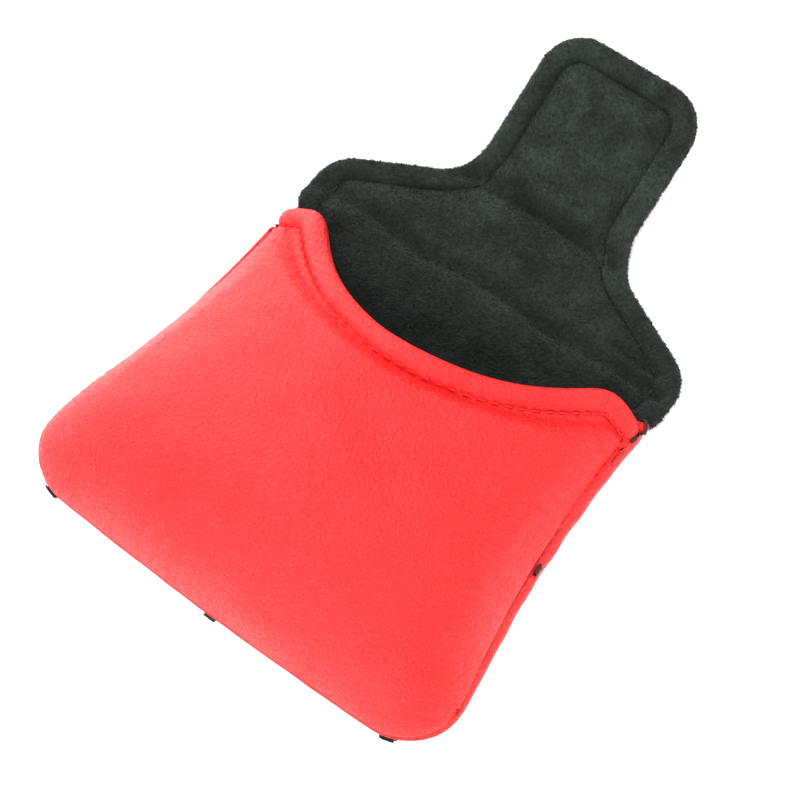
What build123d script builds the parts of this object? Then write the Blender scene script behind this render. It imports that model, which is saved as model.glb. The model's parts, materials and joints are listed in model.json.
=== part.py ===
from build123d import *

import os
from math import atan2, degrees, sqrt

# A head cover for a mallet putter, lying open on its back. Lengths are in millimetres.
#
# A padded pouch takes the putter head. A flap hinged on the back of the pouch has a sloping
# shoulder and a narrow tongue. The shoulder closes the end of the pouch, and the tongue then
# lies on the front, where two magnets hold it. Every wall is leather outside, foam in the
# middle and plush inside. X is across the pouch, Y runs from its closed end to the tongue's
# tip, and Z is up from the surface that the cover lies on.

# Layers of every padded wall
LEATHER = 1.2
FOAM = 2.0
PLUSH = 2.8

# Pouch
BASE_WIDTH = 140.0  # across the closed end, before its corners are rounded
WAIST_WIDTH = 119.0  # the sides draw in above the corners
WAIST_Y = 74.0
MOUTH_WIDTH = 120.0
MOUTH_Y = 106.0  # the front's two peaks, beside the mouth
BASE_BOW = 2.0  # how far the closed end bows outwards
CORNER_RADIUS = 15.0
POUCH_HEIGHT = 30.0
CROWN_RADIUS = 160.0  # the front is part of a large sphere
CROWN_Y = 54.0
SEAM_HEIGHT = 7.0  # where the front and back leather are sewn together

# Mouth: a scoop in the front, edged with a folded leather binding
SCOOP_DEPTH = 25.0
SCOOP_RADIUS = 56.0
PEAK_RADIUS = 12.0
BINDING_WIDTH = 7.7
BINDING_PROUD = 0.6
BINDING_TURN = 1.0  # thickness of the binding where it turns over the edges of the layers
BARTACK_RADIUS = 0.7
BARTACK_LENGTH = 5.0

# Flap
FOLD_A_Y = 114.0  # where the shoulder folds up from the pouch
SHOULDER_LENGTH = 28.5  # from that fold to the tongue's fold
SHOULDER_WIDTH = 116.0
SHOULDER_CORNER = 10.5  # from the fold to the shoulder's corner, before it is rounded
SHOULDER_ROUND = 10.0
NECK_ROUND = 15.0
TONGUE_WIDTH = 49.0
TONGUE_LENGTH = 50.0
TONGUE_ROUND = 13.0
TONGUE_LIFT = 28.0  # degrees that the tongue stands up, as the cover lies open
EDGE_WIDTH = 5.6  # the rolled plush that wraps the flap's edge
EDGE_HEIGHT = 6.6
EDGE_ROUND = 2.6
FOLD_GAP = 0.3

# Thread
THREAD = 0.5
STITCH_LENGTH = 2.2
STITCH_PITCH = 3.4
STITCH_INSET = 1.0  # from the edge of what is sewn down
STITCH_LIFT = 0.03  # clearance that lets a straight stitch lie on a crowned surface
SEAM_PITCH = 4.5
SEAM_BITE = 1.6  # how far a seam stitch reaches each side of the seam

# Magnets, in pockets in the foam, and the cloth patches that close the pockets
MAGNET_RADIUS = 4.5
MAGNET_SLACK = 0.5  # how much thinner than the foam the magnet and its patch are
MAGNET_FROM_TIP = 11.4
MAGNET_FROM_MOUTH = 13.2
PATCH_THICKNESS = 0.3
POCKET_CLEARANCE = 0.15
MAGNET_THICKNESS = FOAM - PATCH_THICKNESS - MAGNET_SLACK

# Satin-stitched lines let into the back
TRIM_WIDTH = 2.6
TRIM_DEPTH = 0.3
TRIM_HUB_RADIUS = 3.6
TRIM_CORNER_INSET = 14.0  # from each side of the closed end to a line's end
TRIM_INSET = 1.0  # from the front's peaks to the middle of the lines that end beside them

WALL = LEATHER + FOAM + PLUSH
FOLD_B_Y = FOLD_A_Y + SHOULDER_LENGTH
TIP_Y = FOLD_B_Y + TONGUE_LENGTH
FOLD_AXIS_Z = EDGE_HEIGHT + FOLD_GAP / 2
SCOOP_Y = MOUTH_Y - SCOOP_DEPTH
TRIM_HUB_Y = FOLD_A_Y / 2
TRIM_ENDS = ((BASE_WIDTH / 2 - TRIM_CORNER_INSET, 0), (0, 0), (MOUTH_WIDTH / 2, TRIM_HUB_Y),
             (MOUTH_WIDTH / 2, MOUTH_Y - TRIM_INSET))
CROWN_CENTRE = Vector(0, CROWN_Y, POUCH_HEIGHT - CROWN_RADIUS)
FAR = 400.0  # larger than the object, for cutting tools
OVERRUN = 16.0  # how far the pouch's outline runs past the fold before it is cut


def slab(low_y=-FAR, high_y=FAR, low_z=-FAR, high_z=FAR):
    """A block across the whole width, between two places along Y and Z."""
    block = Box(FAR, high_y - low_y, high_z - low_z, align=(Align.CENTER, Align.MIN, Align.MIN))
    return Pos(0, low_y, low_z) * block


def inset(face, amount):
    """The face with its outline moved inwards, or outwards if the amount is negative."""
    return offset(face, -amount, kind=Kind.ARC) if amount else face


def plate(face, low_z, high_z):
    """The face as a plate between two heights."""
    return Pos(0, 0, low_z) * extrude(face, high_z - low_z)


def stitch(start, end):
    """A straight bar of thread between two points."""
    run = end - start
    return Plane(origin=(start + end) / 2, z_dir=run) * Cylinder(THREAD / 2, run.length)


def spaced(path, pitch, reach=0.0):
    """Pairs of points on a path, centred on equal steps and reaching to both sides of each."""
    count = int(path.length // pitch)
    step = path.length / count
    for index in range(count):
        middle = (index + 0.5) * step
        ends = [path.position_at(middle + way * reach / 2, position_mode=PositionMode.LENGTH)
                for way in (-1, 1)]
        yield ends[0], ends[1]


# Pouch


def pouch_outline(depth=0.0):
    """The pouch from above, moved inwards by a depth. It runs on past the fold, so that the
    mouth has no end wall. Its sides and closed end are arcs, and stay parallel as it shrinks."""
    half = BASE_WIDTH / 2
    end = ThreePointArc((-half, 0), (0, -BASE_BOW), (half, 0))
    side = ThreePointArc((half, 0), (WAIST_WIDTH / 2, WAIST_Y), (MOUTH_WIDTH / 2, FOLD_A_Y))
    area = Pos(end.arc_center) * Circle(end.radius - depth)
    area &= Pos(0, FOLD_A_Y + OVERRUN) * Rectangle(FAR, FAR, align=(Align.CENTER, Align.MAX))
    for way in (-1, 1):
        centre = Vector(way * side.arc_center.X, side.arc_center.Y)
        area -= Pos(centre) * Circle(side.radius + depth)
    return fillet(area.vertices().sort_by(Axis.Y)[:2], CORNER_RADIUS - depth)


def envelope(depth):
    """The solid inside the pouch's outer face, with that face moved inwards by a depth."""
    block = plate(pouch_outline(depth), depth, POUCH_HEIGHT + 1)
    ball = Pos(CROWN_CENTRE) * Rot(0, 90, 0) * Sphere(CROWN_RADIUS - depth)
    return (block & ball) & slab(high_y=FOLD_A_Y - FOLD_GAP / 2)


def layer(outer, inner):
    """A layer of the pouch's wall, between two depths under its outer face."""
    return envelope(outer) - envelope(inner)


def mouth_area(back):
    """The area beyond the front's edge, with that edge moved back by a distance."""
    beyond = Pos(0, MOUTH_Y + FAR / 2) * Rectangle(FAR, FAR)
    scoop = Pos(0, SCOOP_Y + SCOOP_RADIUS) * Circle(SCOOP_RADIUS)
    area = beyond + scoop
    peaks = area.vertices().sort_by(Axis.Y)[:2]
    return inset(fillet(peaks, PEAK_RADIUS), -back)


def mouth_cut(back):
    """A cutting tool for everything beyond the front's edge, moved back by a distance."""
    return plate(mouth_area(back), 0, 2 * POUCH_HEIGHT)


def front_of(solid):
    """The part of the pouch's wall that is in front of the side seam."""
    return (solid & slab(low_z=SEAM_HEIGHT)) - mouth_cut(BINDING_TURN)


def back_of(solid):
    """The part of the pouch's wall that is behind the side seam."""
    return solid & slab(high_z=SEAM_HEIGHT)


def make_binding():
    """A strip on the front's edge that turns over the ends of its three layers."""
    above = slab(low_z=SEAM_HEIGHT)
    strip = layer(-BINDING_PROUD, 0) & above & mouth_cut(BINDING_WIDTH)
    turn = layer(0, WALL) & above & mouth_cut(BINDING_TURN)
    return (strip + turn) - mouth_cut(0)


def on_crown(point, height):
    """The point on the front that is straight above a point in plan, raised by a height."""
    radius = CROWN_RADIUS + height
    x, y = point.X - CROWN_CENTRE.X, point.Y - CROWN_CENTRE.Y
    return CROWN_CENTRE + Vector(x, y, sqrt(radius**2 - x**2 - y**2))


def make_mouth_topstitch():
    """Stitches along the binding's lower edge, from one mouth corner to the other."""
    area = mouth_area(BINDING_WIDTH - STITCH_INSET)
    edges = area.edges().filter_by(lambda edge: edge.center().Y < MOUTH_Y)
    limit = MOUTH_WIDTH / 2 - 2 * STITCH_LENGTH
    bars = []
    for start, end in spaced(Wire(edges), STITCH_PITCH, STITCH_LENGTH):
        if max(abs(start.X), abs(end.X)) < limit:
            height = BINDING_PROUD + THREAD / 2 + STITCH_LIFT
            bars.append(stitch(on_crown(start, height), on_crown(end, height)))
    return Compound(bars)


def make_side_seam():
    """Stitches across the seam, in the middle of the leather, round the pouch's sides and end."""
    path = pouch_outline(LEATHER / 2).faces()[0].outer_wire()
    bars = []
    for point, _ in spaced(path, SEAM_PITCH):
        if point.Y < MOUTH_Y - BINDING_WIDTH - THREAD:
            low = Vector(point.X, point.Y, SEAM_HEIGHT - SEAM_BITE)
            bars.append(stitch(low, low + Vector(0, 0, 2 * SEAM_BITE)))
    return Compound(bars)


def make_bartack(side):
    """A bar of thread on the side of the pouch, just past the end of the front."""
    y = MOUTH_Y + BARTACK_RADIUS
    across = pouch_outline() & Pos(0, y) * Rectangle(FAR, THREAD)
    x = across.bounding_box().max.X + BARTACK_RADIUS
    bar = Cylinder(BARTACK_RADIUS, BARTACK_LENGTH)
    bar = fillet(bar.edges(), BARTACK_RADIUS / 2)
    return Pos(side * x, y, SEAM_HEIGHT / 2) * bar


def trim_area():
    """The satin-stitched lines from above: rays from a hub to the seam, the same on both sides."""
    hub = Pos(0, TRIM_HUB_Y)
    ray = Rectangle(FAR / 2, TRIM_WIDTH, align=(Align.MIN, Align.CENTER))
    area = hub * Circle(TRIM_HUB_RADIUS)
    for x, y in TRIM_ENDS:
        angle = degrees(atan2(y - TRIM_HUB_Y, x))
        area += hub * Rot(0, 0, angle) * ray
        area += hub * Rot(0, 0, 180 - angle) * ray
    return area


def make_trim():
    """The satin-stitched lines, let into the back's leather and turned up to the seam."""
    return back_of(layer(0, TRIM_DEPTH)) & plate(trim_area(), -1, SEAM_HEIGHT)


# Magnets


def magnet_pieces():
    """A magnet and the patch over it, and the pocket that they need, upwards from z = 0."""
    height = MAGNET_THICKNESS + PATCH_THICKNESS
    up = (Align.CENTER, Align.CENTER, Align.MIN)
    magnet = Cylinder(MAGNET_RADIUS, MAGNET_THICKNESS, align=up)
    magnet = chamfer(magnet.edges(), THREAD / 4)
    patch = Pos(0, 0, MAGNET_THICKNESS) * Cylinder(MAGNET_RADIUS, PATCH_THICKNESS, align=up)
    hole = Cylinder(MAGNET_RADIUS + POCKET_CLEARANCE, 2 * height)
    return magnet, patch, Pos(0, 0, height / 2) * hole


def front_magnet_place():
    """Where the front's magnet sits in the foam: square to the crown, patch inwards."""
    y = SCOOP_Y - MAGNET_FROM_MOUTH
    depth = LEATHER + POCKET_CLEARANCE
    point = on_crown(Vector(0, y), -depth)
    return Plane(origin=point, z_dir=CROWN_CENTRE - point, x_dir=(1, 0, 0)).location


def tongue_magnet_place():
    """Where the tongue's magnet sits in the foam, before the tongue is lifted."""
    return Pos(0, TIP_Y - MAGNET_FROM_TIP, LEATHER + POCKET_CLEARANCE)


# Flap, laid flat


def flap_outline():
    """The flap laid flat: a shoulder with sloping sides, and a tongue on it."""
    shoulder, tongue = SHOULDER_WIDTH / 2, TONGUE_WIDTH / 2
    corner = (shoulder, FOLD_A_Y + SHOULDER_CORNER)
    right = [(shoulder, FOLD_A_Y - OVERRUN), corner, (tongue, FOLD_B_Y), (tongue, TIP_Y)]
    left = [(-x, y) for x, y in reversed(right)]
    face = make_face(Polyline(*right, *left, close=True))
    for place, radius in ((corner, SHOULDER_ROUND), ((tongue, FOLD_B_Y), NECK_ROUND),
                          ((tongue, TIP_Y), TONGUE_ROUND)):
        for side in (-1, 1):
            spot = Vector(side * place[0], place[1])
            face = fillet(face.vertices().sort_by_distance(spot)[0], radius)
    return face


def shoulder_of(solid):
    """The part of the flap between its two folds."""
    return solid & slab(low_y=FOLD_A_Y + FOLD_GAP / 2, high_y=FOLD_B_Y - FOLD_GAP / 2)


def tongue_of(solid):
    """The part of the flap beyond its second fold."""
    return solid & slab(low_y=FOLD_B_Y + FOLD_GAP / 2)


def lifted(solid):
    """A piece of the tongue, turned up about the tongue's fold."""
    fold = Pos(0, FOLD_B_Y, FOLD_AXIS_Z)
    return fold * Rot(TONGUE_LIFT, 0, 0) * fold.inverse() * solid


def flap_layer(low_z, high_z):
    """A layer of the flap's middle, inside its rolled edge."""
    return plate(inset(flap_outline(), EDGE_WIDTH), low_z, high_z)


def flap_edge():
    """The rolled edge round the flap."""
    roll = plate(flap_outline(), 0, EDGE_HEIGHT)
    outer = roll.faces().sort_by(Axis.Z)
    roll = fillet(outer[0].edges() + outer[-1].edges(), EDGE_ROUND)
    return roll - plate(inset(flap_outline(), EDGE_WIDTH), -1, EDGE_HEIGHT + 1)


def flap_stitches(low_y, high_y):
    """Stitches on the lining beside the rolled edge, between two places along Y."""
    wire = inset(flap_outline(), EDGE_WIDTH + STITCH_INSET).faces()[0].outer_wire()
    bars = []
    for start, end in spaced(wire, STITCH_PITCH, STITCH_LENGTH):
        if low_y < min(start.Y, end.Y) - THREAD and max(start.Y, end.Y) + THREAD < high_y:
            raised = Vector(0, 0, WALL + THREAD / 2)
            bars.append(stitch(start + raised, end + raised))
    return Compound(bars)


# The whole cover


def pouch_nodes():
    """Every piece of the pouch by name."""
    seam, trim = make_side_seam(), make_trim()
    magnet, patch, pocket = magnet_pieces()
    place = front_magnet_place()
    shell = layer(0, LEATHER) - seam
    foam = layer(LEATHER, LEATHER + FOAM)
    lining = layer(LEATHER + FOAM, WALL)
    return {
        "front_panel": front_of(shell),
        "front_foam": front_of(foam) - place * pocket,
        "front_lining": front_of(lining),
        "back_panel": back_of(shell) - trim,
        "back_foam": back_of(foam),
        "back_lining": back_of(lining),
        "back_trim": trim,
        "mouth_binding": make_binding(),
        "mouth_topstitch": make_mouth_topstitch(),
        "mouth_bartack_left": make_bartack(-1),
        "mouth_bartack_right": make_bartack(1),
        "side_seam_thread": seam,
        "front_magnet": place * magnet,
        "front_magnet_patch": place * patch,
    }


def flap_nodes():
    """Every piece of the flap's shoulder by name."""
    edges = shoulder_of(flap_edge()).solids().sort_by(Axis.X)
    return {
        "flap_cover": shoulder_of(flap_layer(0, LEATHER)),
        "flap_foam": shoulder_of(flap_layer(LEATHER, LEATHER + FOAM)),
        "flap_lining": shoulder_of(flap_layer(LEATHER + FOAM, WALL)),
        "flap_edge_left": edges[0],
        "flap_edge_right": edges[-1],
        "flap_stitching": flap_stitches(FOLD_A_Y + FOLD_GAP, FOLD_B_Y - FOLD_GAP),
    }


def tongue_nodes():
    """Every piece of the tongue by name, lifted as it stands when the cover lies open."""
    magnet, patch, pocket = magnet_pieces()
    place = tongue_magnet_place()
    foam = tongue_of(flap_layer(LEATHER, LEATHER + FOAM)) - place * pocket
    flat = {
        "tongue_cover": tongue_of(flap_layer(0, LEATHER)),
        "tongue_foam": foam,
        "tongue_lining": tongue_of(flap_layer(LEATHER + FOAM, WALL)),
        "tongue_edge": tongue_of(flap_edge()),
        "tongue_stitching": flap_stitches(FOLD_B_Y + FOLD_GAP, FAR),
        "tongue_magnet": place * magnet,
        "tongue_magnet_patch": place * patch,
    }
    return {name: lifted(solid) for name, solid in flat.items()}


def main():
    """Writes every piece to its own file, with the origin under the middle of the cover."""
    nodes = {**pouch_nodes(), **flap_nodes(), **tongue_nodes()}
    box = Compound(list(nodes.values())).bounding_box()
    centred = Pos(-box.center().X, -box.center().Y, -box.min.Z)
    os.makedirs("parts", exist_ok=True)
    for name, solid in nodes.items():
        export_step(centred * solid, f"parts/{name}.step")


if __name__ == "__main__":
    main()
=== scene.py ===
import json
import math

import bmesh
import bpy
import numpy as np
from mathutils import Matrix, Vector


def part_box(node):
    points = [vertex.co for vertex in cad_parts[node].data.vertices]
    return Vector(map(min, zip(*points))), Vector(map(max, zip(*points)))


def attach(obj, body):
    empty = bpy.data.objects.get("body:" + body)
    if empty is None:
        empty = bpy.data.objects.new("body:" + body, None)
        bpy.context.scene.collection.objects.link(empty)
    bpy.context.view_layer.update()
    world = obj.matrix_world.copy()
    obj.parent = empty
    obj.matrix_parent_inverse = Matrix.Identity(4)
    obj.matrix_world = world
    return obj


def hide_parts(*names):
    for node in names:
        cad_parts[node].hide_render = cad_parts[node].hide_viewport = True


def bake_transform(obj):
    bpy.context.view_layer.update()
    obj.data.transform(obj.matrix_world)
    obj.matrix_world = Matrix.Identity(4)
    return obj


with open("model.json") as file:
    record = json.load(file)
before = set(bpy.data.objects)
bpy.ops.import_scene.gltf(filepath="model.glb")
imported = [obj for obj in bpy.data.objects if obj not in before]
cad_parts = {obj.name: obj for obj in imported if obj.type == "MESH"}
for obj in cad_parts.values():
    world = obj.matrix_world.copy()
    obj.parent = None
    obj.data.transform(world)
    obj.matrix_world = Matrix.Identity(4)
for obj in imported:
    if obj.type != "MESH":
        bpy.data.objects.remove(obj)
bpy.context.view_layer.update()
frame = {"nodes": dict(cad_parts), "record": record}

print("frame loaded:", len(frame["nodes"]), "nodes")

# Shapes are worked out in millimetres, in plan: x across, y from the pouch's closed end, z up.
# addMesh turns them to metres and puts them where the frame says.
mm = 0.001
joints = {joint["name"]: joint for joint in frame["record"]["behaviour"]["joints"]}
pouch = dict(baseWidth=140, waistWidth=119, waistY=74, mouthWidth=120, bow=2.0, corner=17.0,
             sideBulge=2.25, endBulge=2.6, endReach=0.62, mouthDrop=0.13, pinch=0.5,
             seamDip=1.3, seamDipReach=1.3, seamRise=0.6, seamDrop=3.9, crownRise=0.6, wall=5.4,
             tuck=1.4, wallBulge=1.5, overhang=0.9, skew=0.011)
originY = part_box("back_panel")[0].y / mm + pouch["bow"]      # the closed end, in the frame
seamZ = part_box("front_panel")[0].z / mm
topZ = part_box("front_panel")[1].z / mm
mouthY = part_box("mouth_binding")[1].y / mm - originY
foldA = joints["flap_fold"]["pos_m"][1] / mm - originY
foldB = joints["tongue_fold"]["pos_m"][1] / mm - originY
foldZ = joints["tongue_fold"]["pos_m"][2] / mm
lift = math.radians(-joints["tongue_fold"]["range_deg"][0])  # flat is one end of the range
splitY = (foldA + foldB) / 2                                 # middle of the shoulder
scoop = dict(depth=26.2, radius=56.0, soft=5.0, skew=0.026)
flap = dict(shoulder=118.0, cornerY=11.0, cornerRound=12.0, neckRound=16.0, tongue=48.4,
            length=48.4, tipRound=12.5, rollWidth=6.6, rollHeight=6.6, padTop=7.0,
            channelDepth=2.9, channelReach=2.6, leatherInset=5.2, bendReach=6.0)


# small tools

def step(low, high, x):
    # 0 below low, 1 above high, smooth between
    w = np.clip((x - low) / (high - low), 0, 1)
    return w * w * (3 - 2 * w)


def softMax(a, b, soft):
    # the larger of the two, rounded where they cross
    return (a + b + np.sqrt((a - b) ** 2 + soft * soft)) / 2


def softMin(a, b, soft):
    # the smaller of the two, rounded where they cross
    return -softMax(-a, -b, soft)


def ripple(x, y, size, seed, waves=9):
    # smooth bumps of about this size: a sum of plane waves in random directions, about -1 to 1
    rng = np.random.default_rng(seed)
    total = np.zeros(np.broadcast(x, y).shape)
    for k in range(waves):
        turn = rng.uniform(0, math.tau)
        length = size * rng.uniform(0.75, 1.6)
        phase = rng.uniform(0, math.tau)
        total = total + np.sin(math.tau * (x * math.cos(turn) + y * math.sin(turn)) / length + phase)
    return total / math.sqrt(waves)


def arcHalf(y):
    # half the pouch's width: a circle through three points of the side
    p = [(pouch["baseWidth"] / 2, 0), (pouch["waistWidth"] / 2, pouch["waistY"]),
         (pouch["mouthWidth"] / 2, foldA)]
    (ax, ay), (bx, by), (cx, cy) = p
    d = 2 * (ax * (by - cy) + bx * (cy - ay) + cx * (ay - by))
    a2, b2, c2 = ax * ax + ay * ay, bx * bx + by * by, cx * cx + cy * cy
    ox = (a2 * (by - cy) + b2 * (cy - ay) + c2 * (ay - by)) / d
    oy = (a2 * (cx - bx) + b2 * (ax - cx) + c2 * (bx - ax)) / d
    radius = math.hypot(ax - ox, ay - oy)
    return ox - np.sqrt(radius ** 2 - (y - oy) ** 2)


cornerY = pouch["corner"] - pouch["bow"] * 0.45              # centre of the corner's arc
cornerHalf = float(arcHalf(cornerY))


def planHalf(y):
    # half the seam's width: the side's circle, level past the corner, less what the seam takes in
    return arcHalf(softMax(y, cornerY, 4.0)) - pouch["tuck"] * step(5, 55, y)


def seamLevel(y):
    # the seam runs level along the sides and dips at the closed end
    return seamZ + pouch["seamRise"] - pouch["seamDrop"] * (1 - step(-2, 34, y))


def endLine(x):
    # y of the closed end at x: a slight bow, then the corner's arc; the whole line lies a little askew
    askew = 0.2 - pouch["skew"] * x
    x = np.abs(x)
    centre = cornerHalf - pouch["corner"]
    over = np.clip(x - centre, 0, pouch["corner"])
    arc = pouch["corner"] - np.sqrt(np.maximum(pouch["corner"] ** 2 - over ** 2, 0))
    bow = -pouch["bow"] * (1 - (np.minimum(x, centre) / cornerHalf) ** 2)
    return bow + arc + askew


def mouthLine(x):
    # y of the front's edge at x: a scoop that runs out into two peaks, which drop at the sides
    askew = 0.3 + scoop["skew"] * x
    x = np.abs(x)
    r = scoop["radius"]
    bowl = mouthY - scoop["depth"] + r - np.sqrt(np.maximum(r * r - np.minimum(x, r - 1) ** 2, 0))
    peak = mouthY - 0.5 - 1.6 * step(50, 60, x)
    return softMin(bowl, peak, scoop["soft"]) + askew


def toUV(x, y, top):
    # plan place to the panel's own two parameters: -1 to 1 across, 0 to 1 from closed end to top line
    s = x / planHalf(y)
    low = endLine(s * cornerHalf)
    return s, (y - low) / (top(s * planHalf(y)) - low)


def toPlan(s, t, top):
    # a panel's two parameters to a plan place, with the left side drawn in a little
    low = endLine(s * cornerHalf)
    high = top(s * 60.0)
    y = low + t * (high - low)
    lean = np.maximum(-s, 0) * (1.3 * step(35, 95, y) - 1.0 * (1 - step(8, 45, y)))
    return s * planHalf(y) + lean, y


def normalsOf(p):
    # unit normals of a grid of points, from its two directions
    n = np.cross(np.gradient(p, axis=1), np.gradient(p, axis=0))
    return n / np.maximum(np.linalg.norm(n, axis=2, keepdims=True), 1e-12)


def addMesh(name, points, faces, material):
    # points in plan millimetres, faces as an array of quads or triangles
    mesh = bpy.data.meshes.new(name)
    places = (points.reshape(-1, 3) + np.array([0, originY, 0])) * mm
    mesh.from_pydata(places.tolist(), [], faces if isinstance(faces, list) else faces.tolist())
    mesh.validate()
    mesh.shade_smooth()
    piece = bpy.data.objects.new(name, mesh)
    bpy.context.scene.collection.objects.link(piece)
    mesh.materials.append(material)
    return piece


def mendMesh(piece, sharpAngle=None, merge=1e-6):
    # merges doubles, turns the faces outwards and keeps corners crisp where asked
    work = bmesh.new()
    work.from_mesh(piece.data)
    bmesh.ops.remove_doubles(work, verts=work.verts, dist=merge)
    bmesh.ops.dissolve_degenerate(work, edges=work.edges, dist=merge)
    bmesh.ops.recalc_face_normals(work, faces=work.faces)
    work.to_mesh(piece.data)
    work.free()
    if sharpAngle:
        piece.data.set_sharp_from_angle(angle=math.radians(sharpAngle))
    piece.data.update()


def gridFaces(rows, cols, ring=False):
    # quads of a grid of rows by cols; ring joins each row's last point to its first
    i, j = np.meshgrid(np.arange(rows - 1), np.arange(cols if ring else cols - 1), indexing="ij")
    k = (j + 1) % cols
    return np.stack([i * cols + j, i * cols + k, (i + 1) * cols + k, (i + 1) * cols + j],
                    axis=-1).reshape(-1, 4)


def capFaces(first, count):
    # a row that is a closed ring of top points then bottom points, closed by quads across it
    half = count // 2
    k = np.arange(half - 1)
    return np.stack([first + k, first + k + 1, first + count - 2 - k, first + count - 1 - k], axis=-1)


def thicken(piece, thickness):
    # a wall of this thickness behind the face
    wall = piece.modifiers.new("wall", "SOLIDIFY")
    wall.thickness = thickness * mm
    wall.offset = -1.0
    wall.use_even_offset = False
    return piece


def settle(points, faces, pinned, cloth):
    # cloth simulation: points held by how much they are pinned, the rest a little too large for
    # its frame and under pressure, so that it swells and wrinkles; no point moves beyond the cap
    scale = 0.1                                              # one unit is a centimetre here
    mesh = bpy.data.meshes.new("settling")
    mesh.from_pydata((points.reshape(-1, 3) * scale).tolist(), [], faces.tolist())
    holder = bpy.data.objects.new("settling", mesh)
    bpy.context.scene.collection.objects.link(holder)
    group = holder.vertex_groups.new(name="sewn")
    level = np.round(pinned.reshape(-1) * 8).astype(int)
    for k in range(1, 9):
        group.add(np.flatnonzero(level == k).tolist(), k / 8, "REPLACE")
    skin = holder.modifiers.new("skin", "CLOTH")
    skin.settings.quality = cloth["quality"]
    skin.settings.mass = cloth["mass"]
    skin.settings.tension_stiffness = skin.settings.compression_stiffness = cloth["stretch"]
    skin.settings.shear_stiffness = cloth["shear"]
    skin.settings.bending_stiffness = cloth["bend"]
    skin.settings.vertex_group_mass = "sewn"
    skin.settings.use_pressure = True
    skin.settings.uniform_pressure_force = cloth["pressure"]
    skin.settings.shrink_min = -cloth["grow"]
    skin.settings.effector_weights.gravity = 0
    skin.collision_settings.use_collision = False
    skin.point_cache.frame_start, skin.point_cache.frame_end = 1, cloth["frames"]
    for tick in range(1, cloth["frames"] + 1):
        bpy.context.scene.frame_set(tick)
    result = holder.evaluated_get(bpy.context.evaluated_depsgraph_get()).to_mesh()
    moved = np.empty(len(result.vertices) * 3)
    result.vertices.foreach_get("co", moved)
    moved = moved.reshape(points.shape) / scale - points
    size = np.linalg.norm(moved, axis=-1, keepdims=True)
    print("  cloth settled: largest move %.2f mm, mean %.2f mm" % (size.max(), size.mean()))
    bpy.data.objects.remove(holder)
    bpy.context.scene.frame_set(1)
    return points + moved * np.minimum(1, cloth["cap"] / np.maximum(size, 1e-9))


# materials

def linear(hexCode):
    # sRGB hex to linear: a straight part near black, and a power of 2.4 above it
    parts = [int(hexCode[k:k + 2], 16) / 255 for k in (0, 2, 4)]
    return [c / 12.92 if c <= 0.04045 else ((c + 0.055) / 1.055) ** 2.4 for c in parts] + [1.0]


def addNode(tree, kind, links=None, **settings):
    # one node: settings by attribute or socket name, links as {socket: (node, socket)}
    node = tree.nodes.new(kind)
    for key, value in settings.items():
        if hasattr(node, key):
            setattr(node, key, value)
        else:
            node.inputs[key.replace("_", " ")].default_value = value
    for key, (other, socket) in (links or {}).items():
        tree.links.new(other.outputs[socket], node.inputs[key])
    return node


def startMaterial(name, **settings):
    # a material with its shader's own values set, and the Object coordinates that patterns read
    material = bpy.data.materials.new(name)
    material.use_nodes = True
    shader = material.node_tree.nodes["Principled BSDF"]
    for key, value in settings.items():
        shader.inputs[key.replace("_", " ")].default_value = value
    place = addNode(material.node_tree, "ShaderNodeTexCoord")
    return material, material.node_tree, shader, place


nappa = dict(dark="EC0C0C", mid="F81718", light="FE2022", valley="F20C0E", grain=0.85, pores=0.35,
             mottle=14.0, grainLow=0.7, grainHigh=1.25, valleyMix=0.45, smooth=0.22, rough=0.6, handled=0.12,
             bump=0.7, coatBump=0.5)


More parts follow.
